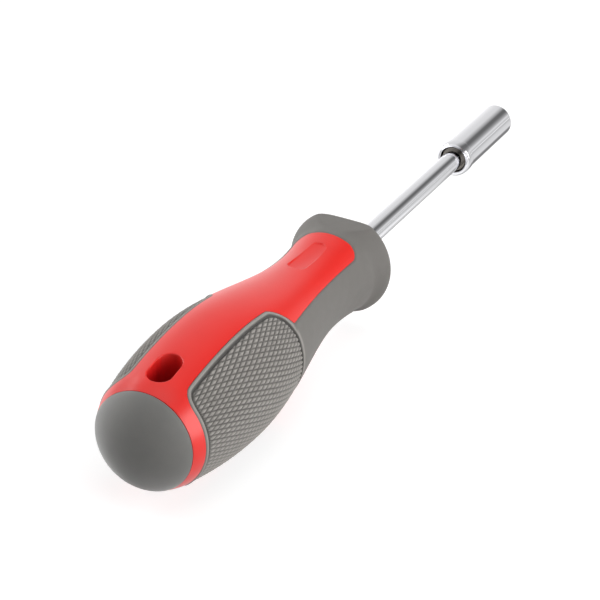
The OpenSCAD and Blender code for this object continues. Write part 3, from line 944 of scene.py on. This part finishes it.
def moulded_polypropylene():
    """The core's red: satin and evenly coloured, with painted shade deep inside the hanging hole."""
    made, tree, shader = new_material("moulded_polypropylene_red", IOR=1.53)
    place = add_node(tree, "ShaderNodeTexCoord").outputs["Object"]
    flow = add_node(tree, "ShaderNodeTexNoise", {"Vector": place, "Scale": per_mm(FLOW_MM), "Detail": 2.0})
    colour = add_node(tree, "ShaderNodeMix", {
        "Factor": flow.outputs["Fac"], "A": linear("ee211a"), "B": linear("f42920")}, data_type="RGBA")
    grain = add_node(tree, "ShaderNodeTexNoise", {
        "Vector": place, "Scale": per_mm(ETCH_MM), "Detail": 2.0})
    gloss = add_node(tree, "ShaderNodeMapRange", {
        "Value": grain.outputs["Fac"], "To Min": 0.25, "To Max": 0.36})
    bump = add_node(tree, "ShaderNodeBump", {
        "Height": grain.outputs["Fac"], "Strength": 0.12, "Distance": ETCH_DEPTH * MM})
    # Painted shade: deep inside the hanging hole, where ambient occlusion finds little open room, the colour
    # is mixed towards a dark red
    depth = add_node(tree, "ShaderNodeAmbientOcclusion", {
        "Distance": HOLE_LEN * MM}, only_local=True, samples=SKY_SAMPLES)
    open_sky = add_node(tree, "ShaderNodeMapRange", {"Value": depth.outputs["AO"], "From Max": OPEN_SKY})
    hole_painted_shade = add_node(tree, "ShaderNodeMix", {
        "Factor": open_sky.outputs[0], "A": linear("a40012"), "B": colour.outputs["Result"],
    }, data_type="RGBA")
    tree.links.new(hole_painted_shade.outputs["Result"], shader.inputs["Base Color"])
    tree.links.new(gloss.outputs[0], shader.inputs["Roughness"])
    tree.links.new(bump.outputs[0], shader.inputs["Normal"])
    return made


# %% [markdown]
# ### Moulded rubber
# Grip and cap are thermoplastic rubber from a sandblasted mould. That gives the eye a matt, dry grey with
# fine grain and hardly any gloss. Light and shade are painted on the grip: the shade kept on its points
# makes the colour darker in the furrows and in the groove inside the border (painted shade), and paler
# on the tops of the diamonds and on the border's bead (painted highlights).

# %% Moulded rubber
CLOUD_MM = 2.5
BLAST_DEPTH = 0.03


def moulded_rubber(name, dark, light, grain_mm, sheen):
    """Matt rubber between two greys, with a grain of a size in mm and the pale bloom that dry rubber has."""
    made, tree, shader = new_material(name, IOR=1.5, Sheen_Weight=sheen, Sheen_Roughness=0.45)
    place = add_node(tree, "ShaderNodeTexCoord").outputs["Object"]
    cloud = add_node(tree, "ShaderNodeTexNoise", {"Vector": place, "Scale": per_mm(CLOUD_MM), "Detail": 4.0})
    colour = add_node(tree, "ShaderNodeMix", {
        "Factor": cloud.outputs["Fac"], "A": linear(dark), "B": linear(light)}, data_type="RGBA")
    # Painted light and shade: the factor kept on the grip's points darkens the furrows and the groove and
    # lightens the diamonds' tops and the bead
    relief = add_node(tree, "ShaderNodeAttribute", attribute_name=PAINTED_LIGHT_ATTRIBUTE)
    shade = add_node(tree, "ShaderNodeMath", {0: relief.outputs["Fac"], 1: 1.0}, operation="ADD")
    painted_light_colour = add_node(tree, "ShaderNodeHueSaturation", {
        "Color": colour.outputs["Result"], "Value": shade.outputs[0]})
    grain = add_node(tree, "ShaderNodeTexNoise", {"Vector": place, "Scale": per_mm(grain_mm), "Detail": 3.0})
    gloss = add_node(tree, "ShaderNodeMapRange", {
        "Value": grain.outputs["Fac"], "To Min": 0.58, "To Max": 0.75})
    bump = add_node(tree, "ShaderNodeBump", {
        "Height": grain.outputs["Fac"], "Strength": 0.25, "Distance": BLAST_DEPTH * MM})
    tree.links.new(painted_light_colour.outputs[0], shader.inputs["Base Color"])
    tree.links.new(gloss.outputs[0], shader.inputs["Roughness"])
    tree.links.new(bump.outputs[0], shader.inputs["Normal"])
    return made


# %% [markdown]
# ### Plated and bare metal
# Every other piece is metal, most of it steel: drawn, turned or blanked, and then plated, polished or
# oiled. What the eye sees is how sharp the reflection is, and faint lines from the making. So one function
# stretches a noise into such lines, along a drawn bar and round a turned one, and lets them vary the
# roughness.

# %% Plated and bare metal
DRAWN = (0.02, 1.0, 1.0)
TURNED = (1.0, 0.05, 0.05)
EVEN = (1.0, 1.0, 1.0)


def worked_metal(name, colour, stretch, line_mm, gloss):
    """Metal of a colour with lines of a width in mm, whose roughness varies between the two of gloss."""
    made, tree, shader = new_material(name, Base_Color=linear(colour), Metallic=1.0)
    place = add_node(tree, "ShaderNodeTexCoord").outputs["Object"]
    stretched = add_node(tree, "ShaderNodeMapping", {"Vector": place, "Scale": stretch})
    lines = add_node(tree, "ShaderNodeTexNoise", {
        "Vector": stretched.outputs[0], "Scale": per_mm(line_mm), "Detail": 3.0})
    rough = add_node(tree, "ShaderNodeMapRange", {
        "Value": lines.outputs["Fac"], "To Min": gloss[0], "To Max": gloss[1]})
    tree.links.new(rough.outputs[0], shader.inputs["Roughness"])
    return made


# %% Dress the pieces
finishes = {
    core: moulded_polypropylene(),
    grip: moulded_rubber("moulded_rubber_grey", "706d69", "777470", grain_mm=0.3, sheen=0.1),
    cap: moulded_rubber("moulded_rubber_cap", "6f6e6c", "767571", grain_mm=0.25, sheen=1.0),
    # Bright chrome over a drawn bar: nearly a mirror, with faint lines along it
    shaft: worked_metal("chrome_on_drawn_steel", "eeeef1", DRAWN, line_mm=0.3, gloss=(0.06, 0.11)),
    # Bright chrome over a turned sleeve: nearly a mirror, with faint rings round it
    sleeve: worked_metal("chrome_on_turned_steel", "eeeef1", TURNED, line_mm=0.3, gloss=(0.04, 0.08)),
    # Bare hardened steel: a darker grey that still shines, with rings from the turning
    chuck: worked_metal("turned_and_hardened_steel", "706c67", TURNED, line_mm=0.25, gloss=(0.15, 0.25)),
    # Blackened sheet: dark and dull
    washer: worked_metal("blanked_and_blackened_steel", "6a6663", EVEN, line_mm=0.4, gloss=(0.35, 0.5)),
    # Nickel over a sintered disc: a warm grey, a little cloudy
    magnet: worked_metal("nickel_on_sintered_magnet", "a5a29b", EVEN, line_mm=0.5, gloss=(0.25, 0.4)),
    # A polished bearing ball: a clean mirror
    ball: worked_metal("polished_bearing_steel", "c9cacc", EVEN, line_mm=0.3, gloss=(0.05, 0.09)),
    # Wire and ring with a film of oil: dark, with a soft shine
    spring: worked_metal("oiled_spring_wire", "6c6f73", EVEN, line_mm=0.2, gloss=(0.28, 0.42)),
    snap_ring: worked_metal("oiled_snap_ring_steel", "5a5754", EVEN, line_mm=0.3, gloss=(0.35, 0.5)),
}
for piece, finish in finishes.items():
    piece.data.materials.clear()
    piece.data.materials.append(finish)
print("finishes:", sorted(m.name for m in finishes.values()))

# %% [markdown]
# ## Light and floor
# A light tent: a white backdrop, a pale floor and three large soft lamps, left, right and above. White
# walls that lit the tool from all sides would flatten it, so the backdrop is white only to the eye and
# to reflections, and sends out much less light than it shows.

# %% World
AMBIENT = 0.22
world = bpy.data.worlds.new("white_studio")
world.use_nodes = True
bpy.context.scene.world = world
sky = world.node_tree
sky.nodes.clear()


def seen_directly(tree):
    """One for rays from the camera, from a gloss or through glass, and zero for scattered light."""
    path = add_node(tree, "ShaderNodeLightPath")
    seen = path.outputs["Is Camera Ray"]
    for kind in ("Is Glossy Ray", "Is Transmission Ray"):
        either = add_node(tree, "ShaderNodeMath", {0: seen, 1: path.outputs[kind]}, operation="MAXIMUM")
        seen = either.outputs[0]
    return seen


strength = add_node(sky, "ShaderNodeMapRange", {
    "Value": seen_directly(sky), "To Min": AMBIENT, "To Max": 1.0})
background = add_node(sky, "ShaderNodeBackground", {
    "Color": (1, 1, 1, 1), "Strength": strength.outputs[0]})
add_node(sky, "ShaderNodeOutputWorld", {"Surface": background.outputs[0]})
print("backdrop looks white and lights at", AMBIENT)


# %% Lamps
def soft_lamp(name, place, aim_at, size, power):
    """A large square lamp at a place in metres, aimed at a point."""
    data = bpy.data.lights.new(name, "AREA")
    data.size = size
    data.energy = power
    lamp = bpy.data.objects.new(name, data)
    bpy.context.scene.collection.objects.link(lamp)
    lamp.location = place
    lamp.rotation_mode = "QUATERNION"
    lamp.rotation_quaternion = (Vector(aim_at) - Vector(place)).to_track_quat("-Z", "Y")


middle = (cad_box[0] + cad_box[1]) / 2
soft_lamp("left_softbox", (middle.x, 0.8, 0.25), middle, size=0.7, power=5.8)
soft_lamp("right_softbox", (middle.x + 0.05, -0.8, 0.2), middle, size=0.9, power=8.5)
soft_lamp("top_softbox", (middle.x - 0.1, -0.1, 0.85), middle, size=0.6, power=2.1)
print("lamps round", [round(c, 3) for c in middle])

# %% [markdown]
# ### Floor
# The floor is a large sheet of paper under the tool. It has to keep the tool's faint shadow and yet melt
# into the white backdrop, so it is matt grey paper with a glow that grows to white further out.

# %% Floor
def flat_sheet(name, low, high, made):
    """A sheet between two corners, level or standing, for the studio round the object."""
    mesh = bpy.data.meshes.new(name)
    corners = [low, (high[0], low[1], low[2]), high, (low[0], high[1], high[2])]
    mesh.from_pydata(corners, [], [(0, 1, 2, 3)])
    mesh.materials.append(made)
    sheet = bpy.data.objects.new(name, mesh)
    bpy.context.scene.collection.objects.link(sheet)
    return sheet


def bare_material(name):
    """A material without any nodes yet."""
    made = bpy.data.materials.new(name)
    made.use_nodes = True
    made.node_tree.nodes.clear()
    return made, made.node_tree


def studio_paper(name, shade, glow, near, far):
    """Paper that takes a shadow, with a glow for the eye and for reflections that lights nothing else.

    The glow grows to white between the near and the far distance from the origin."""
    made, tree = bare_material(name)
    matt = add_node(tree, "ShaderNodeBsdfDiffuse", {"Color": (shade, shade, shade, 1)})
    place = add_node(tree, "ShaderNodeTexCoord").outputs["Object"]
    distance = add_node(tree, "ShaderNodeVectorMath", {0: place}, operation="LENGTH")
    level = add_node(tree, "ShaderNodeMapRange", {
        "Value": distance.outputs["Value"], "From Min": near, "From Max": far, "To Min": glow, "To Max": 1.0})
    share = add_node(tree, "ShaderNodeMath", {
        0: seen_directly(tree), 1: level.outputs[0]}, operation="MULTIPLY")
    light = add_node(tree, "ShaderNodeEmission", {"Strength": share.outputs[0]})
    both = add_node(tree, "ShaderNodeAddShader", {0: matt.outputs[0], 1: light.outputs[0]})
    add_node(tree, "ShaderNodeOutputMaterial", {"Surface": both.outputs[0]})
    return made


FLOOR_HALF = 4.0
floor_z = cad_box[0].z
white_paper = studio_paper("white_paper", shade=0.42, glow=0.75, near=0.3, far=0.8)
flat_sheet("floor", (-FLOOR_HALF, -FLOOR_HALF, floor_z), (FLOOR_HALF, FLOOR_HALF, floor_z), white_paper)
print("floor at", round(floor_z / MM, 2), "mm")

# %% [markdown]
# ### Cards for the chrome
# Chrome shows whatever is round it, and in an all-white tent it would vanish. So it is given painted
# reflections: toned sheets that glow though they are no lamps, a ceiling with a dark band, whose reflection
# is the dark line along the shaft, two cards on the floor and one standing on each side. They are hidden
# from the camera and light nothing: only reflections show them. The card right under the shaft paints the
# reflection of the tool's own shadow on the floor.

# %% Toned cards
def toned_card(name, x_range, level, tones, change=None, tones_ahead=None, standing=False):
    """A card whose glow changes across it, from tones of (place across it in metres, glow).

    A level card lies at a height and has its tones along Y; a standing one is at a Y and has them along Z.
    Over a change along X, its tones can turn into another set, which starts and ends at the same places."""
    made, tree = bare_material(name)
    first, last = tones[0][0], tones[-1][0]
    here = add_node(tree, "ShaderNodeTexCoord").outputs["Object"]
    axes = add_node(tree, "ShaderNodeSeparateXYZ", {0: here})
    across = add_node(tree, "ShaderNodeMapRange", {
        "Value": axes.outputs["Z" if standing else "Y"], "From Min": first, "From Max": last})
    glows = []
    for tone_set in [tones, tones_ahead] if change else [tones]:
        ramp = add_node(tree, "ShaderNodeValToRGB", {"Fac": across.outputs[0]})
        stops = ramp.color_ramp.elements
        for place, _ in tone_set[1:-1]:
            stops.new((place - first) / (last - first))
        for stop, (_, grey) in zip(stops, tone_set):
            stop.color = (grey, grey, grey, 1)
        glows.append(ramp.outputs["Color"])
    glow = glows[0]
    if change:
        ahead = add_node(tree, "ShaderNodeMapRange", {
            "Value": axes.outputs["X"], "From Min": change[0], "From Max": change[1]})
        turned_tones = add_node(tree, "ShaderNodeMix", {
            "Factor": ahead.outputs[0], "A": glows[0], "B": glows[1]}, data_type="RGBA")
        glow = turned_tones.outputs["Result"]
    light = add_node(tree, "ShaderNodeEmission", {"Color": glow})
    add_node(tree, "ShaderNodeOutputMaterial", {"Surface": light.outputs[0]})
    ends = zip(x_range, (first, last))
    low, high = [(x, level, place) if standing else (x, place, level) for x, place in ends]
    sheet = flat_sheet(name, low, high, made)
    sheet.visible_camera = False
    sheet.visible_diffuse = False
    sheet.visible_shadow = False
    print(name, "from", low, "to", high)


# %% Ceiling
CEILING_Z = 0.6
CEILING_X = (-3.0, 15.0)
CEILING_TONES = [
    (-9.0, 0.55), (-4.8, 0.55), (-1.4, 0.79), (-0.73, 0.35), (-0.41, 0.155), (-0.2, 0.15),
    (-0.02, 0.49), (0.15, 0.76), (1.1, 0.9), (3.0, 1.0),
]
toned_card("painted_reflection_ceiling", CEILING_X, CEILING_Z, CEILING_TONES)

# %% Cards on the floor
CARD_GAP = 0.0002
card_z = floor_z + CARD_GAP
# Painted reflection: ahead of the tool the floor looks greyer in the chrome than it is
toned_card(
    "floor_card", (-0.06, 2.4), card_z, [(-1.6, 1.0), (-0.0165, 1.0)], change=(-0.04, -0.012),
    tones_ahead=[(-1.6, 0.6), (-0.13, 0.56), (-0.046, 0.74), (-0.0165, 0.78)])
# Painted reflection of the tool's shadow: a dark strip right under the sleeve and the shaft
toned_card(
    "painted_shadow_reflection", (-0.125, 0.06), card_z,
    [(-0.0165, 0.72), (-0.011, 0.76), (-0.006, 0.6), (0.0, 0.4), (0.006, 0.5)], change=(-0.026, -0.006),
    tones_ahead=[(-0.0165, 0.45), (-0.01, 0.2), (-0.005, 0.24), (0.0, 0.4), (0.006, 0.5)])

# %% Standing cards
CARD_REAR_X = -0.12
CARD_FRONT = 0.2
FLOOR_TONE = 0.8
# Heights are shares of a card's distance from the axis, so each looks as tall from the tool
SIDE_TONES = [(0.1, 0.45), (0.5, 0.35), (0.75, 0.7)]
# Painted reflections at the sides: grey bands that the chrome shows when seen from the side
for name, y in (("left_card", 0.6), ("right_card", -0.2)):
    away = abs(y)
    side_tones = [(floor_z, FLOOR_TONE)] + [(share * away, grey) for share, grey in SIDE_TONES]
    toned_card(name, (CARD_REAR_X, CARD_FRONT * away), y, side_tones, standing=True)

# %% Finish
bpy.context.scene.view_settings.view_transform = "Standard"
